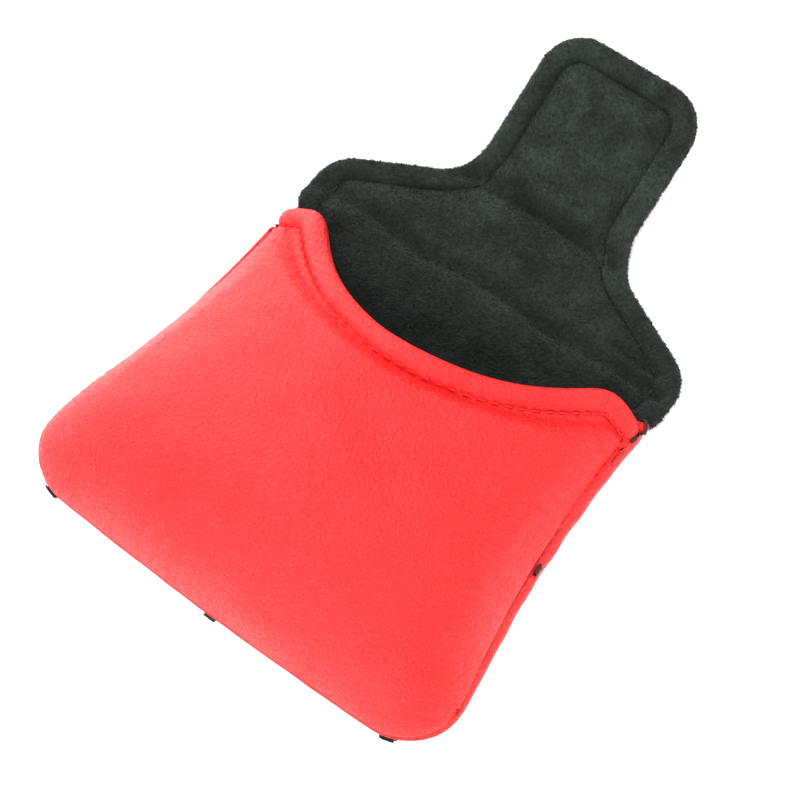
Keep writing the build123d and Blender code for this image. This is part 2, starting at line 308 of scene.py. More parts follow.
def makeNappa():
    # nappa leather, drummed and sprayed red: a fine soft grain breaks up a broad satin highlight
    material, tree, shader, place = startMaterial("redNappaLeather", IOR=1.5, Coat_Weight=0.3,
                                                  Coat_Roughness=0.36, Specular_IOR_Level=0.35)
    spot = (place, "Object")
    mottle = addNode(tree, "ShaderNodeTexNoise", {"Vector": spot}, Scale=1 / (nappa["mottle"] * mm),
                     Detail=4.0, Roughness=0.6)
    colour = addNode(tree, "ShaderNodeValToRGB", {"Fac": (mottle, "Fac")})
    ramp = colour.color_ramp
    ramp.elements[0].position, ramp.elements[0].color = 0.32, linear(nappa["dark"])
    ramp.elements[1].position, ramp.elements[1].color = 0.7, linear(nappa["light"])
    ramp.elements.new(0.5).color = linear(nappa["mid"])
    cells = addNode(tree, "ShaderNodeTexVoronoi", {"Vector": spot}, feature="SMOOTH_F1",
                    Scale=1 / (nappa["grain"] * mm), Smoothness=0.4)
    pores = addNode(tree, "ShaderNodeTexNoise", {"Vector": spot}, Scale=1 / (nappa["pores"] * mm),
                    Detail=3.0)
    grain = addNode(tree, "ShaderNodeMath", {0: (cells, "Distance"), 1: (pores, "Fac")}, operation="ADD")
    valley = addNode(tree, "ShaderNodeMapRange", {"Value": (grain, "Value")})
    valley.inputs["To Min"].default_value, valley.inputs["To Max"].default_value = 0.0, nappa["valleyMix"]
    shade = addNode(tree, "ShaderNodeMixRGB", {"Fac": (valley, "Result"), "Color1": (colour, "Color")})
    shade.inputs["Color2"].default_value = linear(nappa["valley"])
    tree.links.new(shade.outputs["Color"], shader.inputs["Base Color"])
    rough = addNode(tree, "ShaderNodeMapRange", {"Value": (grain, "Value")})
    rough.inputs["To Min"].default_value, rough.inputs["To Max"].default_value = nappa["smooth"], nappa["rough"]
    for spread in (valley, rough):
        spread.inputs["From Min"].default_value = nappa["grainLow"]
        spread.inputs["From Max"].default_value = nappa["grainHigh"]
    handled = addNode(tree, "ShaderNodeMath", {0: (mottle, "Fac"), 2: (rough, "Result")},
                      operation="MULTIPLY_ADD")
    handled.inputs[1].default_value = nappa["handled"]
    tree.links.new(handled.outputs["Value"], shader.inputs["Roughness"])
    bump = addNode(tree, "ShaderNodeBump", {"Height": (grain, "Value")}, Strength=0.85,
                   Distance=nappa["bump"] * mm)
    tree.links.new(bump.outputs["Normal"], shader.inputs["Normal"])
    spray = addNode(tree, "ShaderNodeBump", {"Height": (grain, "Value")}, Strength=0.4,
                    Distance=nappa["coatBump"] * mm)
    tree.links.new(spray.outputs["Normal"], shader.inputs["Coat Normal"])
    return material


# painted shade and painted sheen on the flap's plush: darker inside the pouch where it lies in shade, lighter
# towards the tongue where the pile catches the light
plush = dict(dark="131713", light="343B37", sheen="A9B3AC", pile=1.1, patch=16.0,
             paintedShadePlaces=(foldA - 24, foldA + 4, foldB - 4, foldB + 12), paintedShadeLevels=(0.4, 0.9, 1.1, 1.4))


def makePlush(name, withPaintedShade):
    # polyester velboa, cut pile brushed one way: dull and near black, with a pale sheen at grazing angles
    material, tree, shader, place = startMaterial(name, Roughness=0.95, IOR=1.45,
                                                  Sheen_Weight=0.22, Sheen_Roughness=0.45)
    shader.inputs["Specular IOR Level"].default_value = 0.2
    shader.inputs["Sheen Tint"].default_value = linear(plush["sheen"])
    spot = (place, "Object")
    patch = addNode(tree, "ShaderNodeTexNoise", {"Vector": spot}, Scale=1 / (plush["patch"] * mm),
                    Detail=3.0, Roughness=0.6, Distortion=0.6)
    fine = addNode(tree, "ShaderNodeTexNoise", {"Vector": spot}, Scale=1 / (plush["pile"] * mm),
                   Detail=4.0, Roughness=0.75)
    both = addNode(tree, "ShaderNodeMath", {0: (patch, "Fac"), 1: (fine, "Fac")}, operation="MULTIPLY_ADD")
    both.inputs[2].default_value = 0.12
    tree.links.new(fine.outputs["Fac"], both.inputs[1])
    colour = addNode(tree, "ShaderNodeValToRGB", {"Fac": (both, "Value")})
    ramp = colour.color_ramp
    ramp.elements[0].position, ramp.elements[0].color = 0.22, linear(plush["dark"])
    ramp.elements[1].position, ramp.elements[1].color = 0.56, linear(plush["light"])
    tree.links.new(colour.outputs["Color"], shader.inputs["Base Color"])
    if withPaintedShade:                                               # painted shade darker inside the pouch, painted sheen lighter towards the tongue
        paintedShadeAndSheen = addNode(tree, "ShaderNodeAttribute", attribute_name="paintedShadeAndSheen")
        shade = addNode(tree, "ShaderNodeMixRGB", {"Color1": (colour, "Color"), "Color2": (paintedShadeAndSheen, "Fac")},
                        blend_type="MULTIPLY")
        shade.inputs["Fac"].default_value = 1.0
        tree.links.new(shade.outputs["Color"], shader.inputs["Base Color"])
    tuft = addNode(tree, "ShaderNodeTexVoronoi", {"Vector": spot}, Scale=1 / (0.9 * mm))
    high = addNode(tree, "ShaderNodeMath", {0: (fine, "Fac"), 1: (tuft, "Distance")}, operation="SUBTRACT")
    bump = addNode(tree, "ShaderNodeBump", {"Height": (high, "Value")}, Strength=0.7, Distance=0.6 * mm)
    tree.links.new(bump.outputs["Normal"], shader.inputs["Normal"])
    return material


def makeThread(name, dark, light):
    # bonded polyester thread, two twisted strands: a slight gloss with fine slanting lines
    material, tree, shader, place = startMaterial(name, Roughness=0.75, IOR=1.5)
    wave = addNode(tree, "ShaderNodeTexWave", {"Vector": (place, "Object")}, bands_direction="DIAGONAL",
                   Scale=1 / (1.2 * mm), Distortion=1.5)
    colour = addNode(tree, "ShaderNodeValToRGB", {"Fac": (wave, "Fac")})
    colour.color_ramp.elements[0].color = linear(dark)
    colour.color_ramp.elements[1].color = linear(light)
    tree.links.new(colour.outputs["Color"], shader.inputs["Base Color"])
    bump = addNode(tree, "ShaderNodeBump", {"Height": (wave, "Fac")}, Strength=0.4, Distance=0.1 * mm)
    tree.links.new(bump.outputs["Normal"], shader.inputs["Normal"])
    return material


def makeFoam():
    # open-cell polyurethane foam: off-white, matt, full of small pores
    material, tree, shader, place = startMaterial("paleFoam", Roughness=0.95)
    pores = addNode(tree, "ShaderNodeTexVoronoi", {"Vector": (place, "Object")}, Scale=1 / (0.8 * mm))
    colour = addNode(tree, "ShaderNodeValToRGB", {"Fac": (pores, "Distance")})
    colour.color_ramp.elements[0].color = linear("B9B2A0")
    colour.color_ramp.elements[1].color = linear("E9E4D6")
    tree.links.new(colour.outputs["Color"], shader.inputs["Base Color"])
    bump = addNode(tree, "ShaderNodeBump", {"Height": (pores, "Distance")}, Strength=0.5, Distance=0.4 * mm)
    tree.links.new(bump.outputs["Normal"], shader.inputs["Normal"])
    return material


def makeNickel():
    # nickel-plated neodymium disc: a soft metal gloss with light scuffs
    material, tree, shader, place = startMaterial("nickelPlatedMagnet", Metallic=1.0)
    scuff = addNode(tree, "ShaderNodeTexNoise", {"Vector": (place, "Object")}, Scale=900.0, Detail=6.0)
    rough = addNode(tree, "ShaderNodeMapRange", {"Value": (scuff, "Fac")})
    rough.inputs["To Min"].default_value, rough.inputs["To Max"].default_value = 0.2, 0.4
    tree.links.new(rough.outputs["Result"], shader.inputs["Roughness"])
    shader.inputs["Base Color"].default_value = linear("C9C6BE")
    return material


leather = makeNappa()
velboaPaintedShade = makePlush("blackVelboaPaintedShade", True)
velboaPlain = makePlush("blackVelboaLining", False)
redThread = makeThread("redPolyesterThread", "C80F12", "F02426")
blackThread = makeThread("blackPolyesterThread", "0A0A0A", "262626")
satinThread = makeThread("blackSatinStitch", "060606", "1E1E1E")
pocketCloth = makeThread("blackPocketCloth", "101010", "2A2A2A")
foamMaterial = makeFoam()
nickel = makeNickel()
print("materials made")


# pouch panels

lie = dict(broad=0.55, broadSize=46, small=0.18, smallSize=19, seamWave=0.14)      # how evenly the leather lies


def frontSurface(s, t, depth=0.0):
    # a pillow: height is the crown times a superellipse across and one from the closed end;
    # towards the mouth the sides pinch flatter, and beside the seam the leather is drawn in
    x, y = toPlan(s, t, mouthLine)
    nearMouth = step(0.25, 1.0, t)
    power = 0.5 + pouch["pinch"] * nearMouth
    bulge = pouch["sideBulge"] - 0.3 * nearMouth
    across = np.maximum(1 - np.abs(s) ** bulge, 0) ** power
    along = np.sqrt(np.maximum(1 - np.clip(1 - t / pouch["endReach"], 0, 1) ** pouch["endBulge"], 0))
    base = seamLevel(y)
    crown = (topZ + pouch["crownRise"] - base) * (1 - pouch["mouthDrop"] * nearMouth)
    z = base + crown * across * along
    p = np.stack([x, y, z], axis=-1)
    n = normalsOf(p)
    side, end = (1 - np.abs(s)) * planHalf(y), t * (mouthLine(x) - endLine(x))
    arc = np.hypot(np.minimum(side, end), np.minimum(z - base, 30) * 0.9)
    sideLine = ripple(y, 0 * y, 17, 3) * np.exp(-side / 6.0) + ripple(x, 0 * x, 16, 5) * np.exp(-end / 6.0)
    soft = lie["broad"] * ripple(x, y, lie["broadSize"], 11) + lie["small"] * ripple(x, y, lie["smallSize"], 12)
    fade = step(0, 9, arc)
    out = lie["seamWave"] * sideLine * step(0, 3.0, arc) + soft * fade
    out = out - pouch["seamDip"] * np.exp(-(arc / pouch["seamDipReach"]) ** 2)
    out = out - depth * step(-0.001, 1.5, arc + depth)
    return p + n * out[..., None], n


back = dict(cols=120, rows=110, floor=0.35, square=48, turnUp=0.05, turnPower=2.6, pastMouth=4.6,
            narrow=0.045, seamWave=0.12)


def backTop(x):
    # the back runs on to just short of the flap's fold
    return np.full(np.shape(x), foldA - 1.0)


def backHeight(s, t, y):
    # the back's height: a superellipse across and one from the closed end, seam to floor;
    # past the mouth its sides run down under the flap
    rim = seamLevel(y) - back["pastMouth"] * step(mouthY - 3, mouthY + 3, y)
    across = np.sqrt(np.maximum(1 - np.abs(s) ** back["square"], 0))
    along = np.sqrt(np.maximum(1 - np.clip(1 - t / back["turnUp"], 0, 1) ** back["turnPower"], 0))
    return rim - (rim - back["floor"]) * across * along


def backSurface(s, t, depth=0.0):
    # the underside: flat, turning up to the seam at the sides and the closed end
    x, y = toPlan(s, t, backTop)
    x = x * (1 - back["narrow"] * step(mouthY - 3, mouthY + 4, y))
    x = x + pouch["overhang"] * step(0, 30, -x) * step(0, 20, y)
    z = backHeight(s, t, y)
    p = np.stack([x, y, z], axis=-1)
    n = -normalsOf(p)
    side, end = (1 - np.abs(s)) * planHalf(y), t * (foldA - endLine(x))
    arc = np.hypot(np.minimum(side, end), seamLevel(y) - z)
    lines = ripple(y, 0 * y, 13, 3) * np.exp(-side / 4.0) + ripple(x, 0 * x, 12, 5) * np.exp(-end / 4.0)
    out = back["seamWave"] * lines * step(0, 3.0, arc)
    reach = pouch["wallBulge"] * step(-4, 45, y) * (0.55 + 0.45 * np.tanh(x / 20))
    out = out + reach * np.sin(math.pi * np.clip(z / seamLevel(y), 0, 1))
    out = out - pouch["seamDip"] * np.exp(-(arc / pouch["seamDipReach"]) ** 2) - depth
    return p + n * out[..., None], n


def panelGrid(cols, rows, last=1.0):
    # parameters: close together near the sides and the closed end, where the panel turns steeply
    s = np.sin(np.linspace(-math.pi / 2, math.pi / 2, cols))
    t = last * (1 - np.cos(np.linspace(0, math.pi / 2, rows)))
    return np.meshgrid(s, t)


def mouthDistance(x, y):
    # distance in plan to the front's edge
    lineX = np.linspace(-60, 60, 481)
    lineY = mouthLine(lineX)
    best = np.full(x.shape, 1e9)
    for start in range(0, 481, 40):
        dx = x[..., None] - lineX[start:start + 40]
        dy = y[..., None] - lineY[start:start + 40]
        best = np.minimum(best, np.sqrt(dx * dx + dy * dy).min(-1))
    return best


cloth = dict(pressure=0.9, grow=0.016, frames=14, cap=1.8, quality=5, mass=0.06, stretch=12, shear=4,
             bend=0.6)
front = dict(cols=170, rows=150, thickness=1.2, bindingWidth=6.6, channel=0.8, channelReach=1.3)


def makeFront():
    # the front: its surface with a channel beside the binding and an edge tucked under it, then cloth
    s, t = panelGrid(front["cols"], front["rows"])
    p, n = frontSurface(s, t)
    m = mouthDistance(p[..., 0], p[..., 1])
    dip = front["channel"] * np.exp(-((m - front["bindingWidth"]) / front["channelReach"]) ** 2)
    tuck = 1.6 * step(front["bindingWidth"] - 0.5, front["bindingWidth"] - 3.5, m)
    p = p - n * (dip + tuck)[..., None]
    faces = gridFaces(front["rows"], front["cols"])
    side = np.minimum((1 - np.abs(s)) * planHalf(p[..., 1]), t * (mouthLine(p[..., 0]) - endLine(p[..., 0])))
    held = np.maximum(1 - step(0.4, 2.5, np.maximum(side, (p[..., 2] - seamLevel(p[..., 1])) * 0.6)),
                      1 - step(front["bindingWidth"], front["bindingWidth"] + 1.5, m))
    p = settle(p, faces, held, cloth)
    piece = addMesh("front_leather", p, faces, leather)
    mendMesh(piece)
    thicken(piece, front["thickness"])
    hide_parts("front_panel")
    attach(piece, "pouch")


def makeBack():
    # the back: its surface with a wall behind it
    s, t = panelGrid(back["cols"], back["rows"])
    faces = gridFaces(back["rows"], back["cols"])[:, ::-1]
    piece = addMesh("back_leather", backSurface(s, t)[0], faces, leather)
    mendMesh(piece)
    thicken(piece, front["thickness"])
    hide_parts("back_panel")
    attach(piece, "pouch")


inside = dict(cols=110, rows=100, foamDepth=1.5, foamThick=1.7, plushDepth=3.4, plushThick=2.2)


def makeInside():
    # foam behind each panel and the front's plush, each the panel's surface moved inwards
    for name, surface, depth, thick, material, node, slot, last in (
            ("front_foam_pad", frontSurface, inside["foamDepth"], inside["foamThick"], foamMaterial,
             "front_foam", "padding", 0.975),
            ("back_foam_pad", backSurface, inside["foamDepth"], inside["foamThick"], foamMaterial,
             "back_foam", "padding", 0.99),
            ("front_plush", frontSurface, inside["plushDepth"], inside["plushThick"], velboaPlain,
             "front_lining", "black_plush", 0.99)):
        s, t = panelGrid(inside["cols"], inside["rows"], last)
        s, t = s * 0.985, t * 0.985 + 0.012 * (1 - t)
        p = surface(s, t, depth)[0]
        faces = gridFaces(inside["rows"], inside["cols"])
        piece = addMesh(name, p, faces if surface is frontSurface else faces[:, ::-1], material)
        mendMesh(piece)
        thicken(piece, thick)
        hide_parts(node)
        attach(piece, "pouch")


makeFront()
makeBack()
makeInside()
print("pouch panels made")


# binding and stitches at the mouth

binding = dict(width=6.9, thick=6.2, centre=-2.9, deep=-1.9, square=0.82, pucker=0.13, pitch=3.4)


def mouthPath(count, reach=1.0):
    # the front's edge with its own directions: along, out of the mouth, and off the surface
    s = reach * np.sin(np.linspace(-math.pi / 2, math.pi / 2, 801))
    t = np.array([0.985, 1.0])
    gs, gt = np.meshgrid(s, t)
    p, n = frontSurface(gs, gt)
    p, n = p[1], n[1]
    length = np.concatenate([[0], np.cumsum(np.linalg.norm(np.diff(p, axis=0), axis=1))])
    at = np.linspace(0, length[-1], count)
    p = np.stack([np.interp(at, length, p[:, k]) for k in range(3)], axis=1)
    kernel = np.hanning(9)
    kernel /= kernel.sum()
    pad = np.pad(p, ((4, 4), (0, 0)), mode="reflect", reflect_type="odd")
    p = np.stack([np.convolve(pad[:, k], kernel, "valid") for k in range(3)], axis=1)
    along = np.gradient(p, axis=0)
    along /= np.linalg.norm(along, axis=1, keepdims=True)
    n = np.stack([np.interp(at, length, n[:, k]) for k in range(3)], axis=1)
    n -= along * (n * along).sum(1, keepdims=True)
    n /= np.linalg.norm(n, axis=1, keepdims=True)
    out = np.cross(along, n) * -1
    out *= np.sign((out[:, 1:2]).mean())
    return p, along, out, n, at


def makeBinding():
    # a padded lip: a squared oval carried along the front's edge, drawn in at every stitch
    p, _, out, n, at = mouthPath(420)
    turn = np.linspace(0, math.tau, 41)[:-1]
    c, v = np.cos(turn), np.sin(turn)
    m = binding["centre"] + binding["width"] / 2 * np.sign(c) * np.abs(c) ** binding["square"]
    h = binding["deep"] + binding["thick"] / 2 * np.sign(v) * np.abs(v) ** binding["square"]
    wave = np.cos(math.tau * at / binding["pitch"])[:, None]
    draw = binding["pucker"] * wave * np.clip(-c, 0, 1) * np.clip(v + 0.6, 0, 1)
    soft = 0.22 * ripple(at[:, None], turn[None, :] * 2.2, 21, 31)
    ends = 1 - 0.35 * (np.exp(-at / 2.0) + np.exp(-(at[-1] - at) / 2.0))[:, None]
    wide = binding["centre"] + (m[None, :] - binding["centre"]) * ends
    tall = (h[None, :] - 0.5 * draw + soft * (v > -0.3)) * ends
    points = p[:, None] + out[:, None] * (wide + draw)[..., None] + n[:, None] * tall[..., None]
    points[..., 2] = np.maximum(points[..., 2], 1.0)
    count = len(turn)
    faces = gridFaces(len(p), count, ring=True)
    caps = np.concatenate([capFaces(0, count), capFaces((len(p) - 1) * count, count)])
    piece = addMesh("mouth_binding_leather", points, np.concatenate([faces, caps]), leather)
    mendMesh(piece, sharpAngle=60)
    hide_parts("mouth_binding")
    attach(piece, "pouch")


def addStitches(name, middles, along, up, length, radius, material, body, node, sag=0.25):
    # short rounded bars of thread: a ring carried along a shallow arch that dips at both ends
    ring = np.linspace(0, math.tau, 7)[:-1]
    run = np.linspace(-1, 1, 7)
    size = radius * np.sqrt(np.maximum(1 - (run * 0.97) ** 6, 0.02))
    lift = -sag * run ** 2
    side = np.cross(along, up)
    offset = (np.cos(ring)[None, :] * size[:, None], np.sin(ring)[None, :] * size[:, None])
    points = (middles[:, None, None] + along[:, None, None] * (run * length / 2)[None, :, None, None]
              + up[:, None, None] * (lift[:, None] + offset[0])[None, ..., None]
              + side[:, None, None] * offset[1][None, ..., None])
    per = len(run) * len(ring)
    bar = np.concatenate([gridFaces(len(run), len(ring), ring=True), capFaces(0, 6), capFaces(per - 6, 6)])
    faces = (bar[None] + (np.arange(len(middles)) * per)[:, None, None]).reshape(-1, 4)
    piece = addMesh(name, points, faces, material)
    mendMesh(piece)
    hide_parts(*([node] if isinstance(node, str) else node))
    if body:
        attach(piece, body)
    return piece


topstitch = dict(length=2.5, radius=0.29, inset=6.25, rise=0.02, ends=3.0)


def makeTopstitch():
    # one stitch per pitch, in the channel along the binding
    p, along, out, n, at = mouthPath(1200)
    pitch = binding["pitch"]
    spots = np.arange(topstitch["ends"], at[-1] - topstitch["ends"], pitch)
    take = [np.stack([np.interp(spots, at, a[:, k]) for k in range(3)], axis=1) for a in (p, along, out, n)]
    middles = take[0] - take[2] * topstitch["inset"] + take[3] * topstitch["rise"]
    addStitches("mouth_topstitch_thread", middles, take[1], take[3], topstitch["length"],
                topstitch["radius"], redThread, "pouch", "mouth_topstitch")


makeBinding()
makeTopstitch()
print("mouth made")


# flap

def roundedPath(points, radii, spacing=0.9):
    # straight runs joined by arcs of the given radii, as evenly spaced points
    path = [np.array(points[0], float)]
    for k in range(1, len(points) - 1):
        a, b, c = (np.array(points[q], float) for q in (k - 1, k, k + 1))
        u, v = (a - b) / np.linalg.norm(a - b), (c - b) / np.linalg.norm(c - b)
        half = math.acos(np.clip(u @ v, -1, 1)) / 2
        reach = radii[k - 1] / math.tan(half)
        middle = b + (u + v) / np.linalg.norm(u + v) * radii[k - 1] / math.sin(half)
        start, stop = b + u * reach - middle, b + v * reach - middle
        sweep = math.pi - 2 * half
        count = max(int(radii[k - 1] * sweep / spacing * 1.6), 8)
        f = np.linspace(0, 1, count)[:, None]
        path.extend(middle + (start * np.sin((1 - f) * sweep) + stop * np.sin(f * sweep)) / math.sin(sweep))
    path.append(np.array(points[-1], float))
    full = [path[0]]
    for a, b in zip(path[:-1], path[1:]):
        count = max(int(round(np.linalg.norm(b - a) / spacing)), 1)
        full.extend(a + (b - a) * f for f in np.linspace(0, 1, count + 1)[1:])
    return np.array(full)


tipY = foldB + flap["length"]
half, tongueHalf = flap["shoulder"] / 2, flap["tongue"] / 2
cornerAt = foldA + flap["cornerY"]
edgeRight = roundedPath([(half, foldA - 2), (half, cornerAt), (tongueHalf, foldB + 0.6), (tongueHalf, tipY),
                         (0, tipY)], [flap["cornerRound"], flap["neckRound"], flap["tipRound"]])
edgeRight = edgeRight[edgeRight[:, 0] >= tongueHalf - flap["tipRound"] - 1e-6]


def liningHalf(y):
    # inside the pouch the lining is a wall narrower than the outline; past the mouth it is the flap's
    within = planHalf(y) - pouch["wall"]
    return within + (half - within) * step(mouthY - 6, foldA - 3, y)


def edgeDistance(x, y):
    # distance in plan to the flap's outline, both sides and the tip
    side = np.concatenate([np.stack([np.full(60, half), np.linspace(foldA - 60, foldA - 2, 60)], 1), edgeRight])
    tip = np.stack([np.linspace(0, edgeRight[-1, 0], 12), np.full(12, tipY)], 1)
    line = np.concatenate([side, tip])
    x = np.abs(x)
    best = np.full(x.shape, 1e9)
    a, b = line[:-1], line[1:]
    for p, q in zip(a, b):
        run = q - p
        size = max(run @ run, 1e-12)
        f = np.clip(((x - p[0]) * run[0] + (y - p[1]) * run[1]) / size, 0, 1)
        best = np.minimum(best, np.hypot(x - p[0] - f * run[0], y - p[1] - f * run[1]))
    return best


crease = dict(mouthDepth=3.0, mouthReach=2.6, secondDepth=1.3, secondReach=1.9, tongueDepth=3.5,
              tongueReach=2.4, bump=2.3, hollow=0.8)
stuffing = dict(pucker=0.5, puckerSize=9.5, broad=0.6, broadSize=27, small=0.3, smallSize=12, rollWave=0.16,
                rollSize=13, flat=6.0, flatWave=0.3)


def plushTop(x, y, d):
    # the plush face: a roll along the edge, a sewn channel inside it, and a pad that puckers beside
    # the channel and creases at both folds; inside the pouch it lies flat
    w = flap["rollWidth"]
    r = flap["rollHeight"] / 2
    arch = r + r * np.maximum(1 - np.abs((np.minimum(d, w) - w / 2) / (w / 2)) ** 2.4, 0) ** (1 / 2.4)
    floor = flap["padTop"] - flap["channelDepth"]
    past = np.maximum(d - w, 0)
    pad = flap["padTop"] - flap["channelDepth"] * np.exp(-past / flap["channelReach"])
    rolled = np.where(d < w, np.where(d > w / 2, np.maximum(arch, floor), arch), pad)
    pucker = stuffing["pucker"] * ripple(x, y, stuffing["puckerSize"], 41)
    pucker = pucker * np.exp(-past / 6.0) * step(0, 2.5, past)
    soft = (stuffing["broad"] * ripple(x, y, stuffing["broadSize"], 42)
            + stuffing["small"] * ripple(x, y, stuffing["smallSize"], 43))
    wave = stuffing["rollWave"] * ripple(x, y, stuffing["rollSize"], 44) * step(0.8, 2.5, d)
    rolled = rolled + pucker + soft * step(0, 5, past) + wave
    flat = stuffing["flat"] + stuffing["flatWave"] * ripple(x, y, 24, 45)
    z = flat + (rolled - flat) * step(mouthY - 4, foldA - 1, y)
    lineA = foldA + 1.6 + 1.1 * ripple(x, 0 * x, 38, 46) + 0.5 * ripple(x, 0 * x, 15, 47)
    z = z - crease["mouthDepth"] * np.exp(-((y - lineA) / crease["mouthReach"]) ** 2) * step(0.5, 4, d)
    second = lineA + 5.5 + 0.05 * (x - 50)
    short = np.exp(-((y - second) / crease["secondReach"]) ** 2) * step(30, 42, x) * step(0.5, 4, d)
    z = z - crease["secondDepth"] * short
    lineB = foldB + 0.6 + 0.9 * ripple(x, 0 * x, 30, 48) - 0.002 * x * x
    z = z - crease["tongueDepth"] * np.exp(-((y - lineB) / crease["tongueReach"]) ** 2) * step(0.5, 4, d)
    z = z + crease["bump"] * np.exp(-((y - lineB - 5.0) / 3.0) ** 2) * step(4, 12, d)
    hollow = np.exp(-((x + 14) / 3.0) ** 2) * step(foldB + 6, foldB + 14, y) * step(tipY - 12, tipY - 22, y)
    return np.where(d > w * 0.8, softMax(z - crease["hollow"] * hollow, 3.3, 0.8), z)


def plushBottom(d):
    # the underside: the lower half of the roll, then a step up to the leather's inner face
    w = flap["rollWidth"]
    r = flap["rollHeight"] / 2
    inner = np.minimum(d, w / 2) / (w / 2)
    low = r - (r - 0.1) * np.maximum(1 - (1 - inner) ** 2.4, 0) ** (1 / 2.4)
    return low + 1.5 * step(w * 0.62, w * 0.95, d)


def bendUp(p):
    # the tongue's lie at rest: turned up smoothly about its fold
    reach = flap["bendReach"]
    angle = lift * step(foldB - reach, foldB + reach, p[..., 1])
    dy, dz = p[..., 1] - foldB, p[..., 2] - foldZ
    q = p.copy()
    q[..., 0] += 1.1 * step(mouthY - 10, foldA, p[..., 1]) * (1 - step(foldA + 10, foldB - 2, p[..., 1]))
    q[..., 1] = foldB + dy * np.cos(angle) - dz * np.sin(angle)
    q[..., 2] = foldZ + dy * np.sin(angle) + dz * np.cos(angle)
    return q


def flapRows(low, high):
    # rows across the flap: half width and y of each, from inside the pouch to the tip
    ys = np.concatenate([np.linspace(8, foldA - 2, 110)[:-1], edgeRight[:, 1]])
    ws = np.concatenate([liningHalf(np.linspace(8, foldA - 2, 110))[:-1], edgeRight[:, 0]])
    keep = (ys > low + 0.3) & (ys < high - 0.3)
    wsAt = lambda y: np.interp(y, ys, ws)
    inner = np.stack([ws[keep], ys[keep]], 1)
    first = [[float(wsAt(low)), low]] if low > 8 else []
    last = [[float(wsAt(high)), high]] if high < tipY else []
    parts = [a for a in (np.array(first), inner, np.array(last)) if len(a)]
    rows = np.concatenate(parts)
    if high >= tipY:
        rows = np.concatenate([rows, [[edgeRight[-1, 0], tipY]]])
    return rows


pile = dict(count=30000, root=0.13, low=0.45, high=1.0, sunk=0.25, lean=0.6, spread=0.35, reach=70.0)


def pileTufts(ring, chance, seed):
    # tufts of fibre: thin closed three-sided spikes that stand on random places of a grid of
    # points and lean one way: tip = place + length * (normal + lean + random)
    rng = np.random.default_rng(seed)
    n = normalsOf(ring)
    a, b = ring[1:, 1:] - ring[:-1, :-1], ring[1:, :-1] - ring[:-1, 1:]
    area = np.linalg.norm(np.cross(a, b), axis=2) / 2 * chance[:-1, :-1]
    pick = rng.choice(area.size, pile["count"], p=(area / area.sum()).ravel())
    i, j = np.unravel_index(pick, area.shape)
    f, g = rng.random((2, len(i), 1))
    mix = lambda q: ((q[i, j] * (1 - g) + q[i, j + 1] * g) * (1 - f)
                     + (q[i + 1, j] * (1 - g) + q[i + 1, j + 1] * g) * f)
    place, way = mix(ring), mix(n)
    way /= np.maximum(np.linalg.norm(way, axis=1, keepdims=True), 1e-9)
    slant = way + pile["lean"] * np.array([0.35, -0.9, 0]) + rng.normal(0, pile["spread"], place.shape)
    slant /= np.linalg.norm(slant, axis=1, keepdims=True)
    u = np.cross(way, [0.3, 0.5, 0.8])
    u /= np.maximum(np.linalg.norm(u, axis=1, keepdims=True), 1e-9)
    v = np.cross(way, u)
    root = place - way * pile["sunk"]
    size = pile["root"] * rng.uniform(0.7, 1.3, (len(i), 1))
    corners = [root + size * (u * math.cos(k) + v * math.sin(k))
               for k in (0, math.tau / 3, 2 * math.tau / 3)]
    tip = place + slant * rng.uniform(pile["low"], pile["high"], (len(i), 1))
    tip[:, 2] = np.maximum(tip[:, 2], 0)                     # none goes into the table
    points = np.stack(corners + [tip], axis=1)
    spike = np.array([[0, 2, 1], [0, 1, 3], [1, 2, 3], [2, 0, 3]])
    faces = spike[None] + (np.arange(len(i)) * 4)[:, None, None]
    return points.reshape(-1, 3), faces.reshape(-1, 3)


def plushBody(name, low, high, cols=150):
    # a closed body of rings: the plush face from left to right, then the underside back again
    rows = flapRows(low, high)
    u = np.sin(np.linspace(-math.pi / 2, math.pi / 2, cols))
    x = rows[:, :1] * u
    y = np.repeat(rows[:, 1:], cols, axis=1)
    d = np.minimum(edgeDistance(x, y), (rows[:, :1] - np.abs(x)) + 0 * y)
    d = np.where(y < foldA - 2, rows[:, :1] - np.abs(x), d)
    top = np.stack([x, y, plushTop(x, y, d)], -1)
    under = np.stack([x, y, np.minimum(plushBottom(d), top[..., 2])], -1)
    under[..., 2] = np.where(y < mouthY, 3.4, under[..., 2])
    ring = np.concatenate([top, under[:, ::-1]], axis=1)
    ring = bendUp(ring)
    count = 2 * cols
    faces = gridFaces(len(rows), count, ring=True)
    caps = [capFaces(0, count)]
    if high < tipY:
        caps.append(capFaces((len(rows) - 1) * count, count))
    chance = np.concatenate([np.ones(d.shape), 0.8 * (d[:, ::-1] < flap["rollWidth"] * 0.7)], axis=1)
    chance = chance * (ring[..., 1] > pile["reach"])
    spikes, spikeFaces = pileTufts(ring, chance, int(high))
    bodyFaces = np.concatenate([faces] + caps).tolist() + (spikeFaces + ring.shape[0] * count).tolist()
    piece = addMesh(name, np.concatenate([ring.reshape(-1, 3), spikes]), bodyFaces, velboaPaintedShade)
    mendMesh(piece, sharpAngle=55, merge=2e-6)
    # painted shade and sheen for each point, from its y: darker inside the pouch as painted shade, lighter
    # towards the tongue as painted sheen
    places = np.empty(len(piece.data.vertices) * 3)
    piece.data.vertices.foreach_get("co", places)
    paintedShadeAndSheenLevel = np.interp(places[1::3] / mm - originY, plush["paintedShadePlaces"], plush["paintedShadeLevels"])
    piece.data.attributes.new("paintedShadeAndSheen", "FLOAT", "POINT").data.foreach_set("value", paintedShadeAndSheenLevel)
    return piece


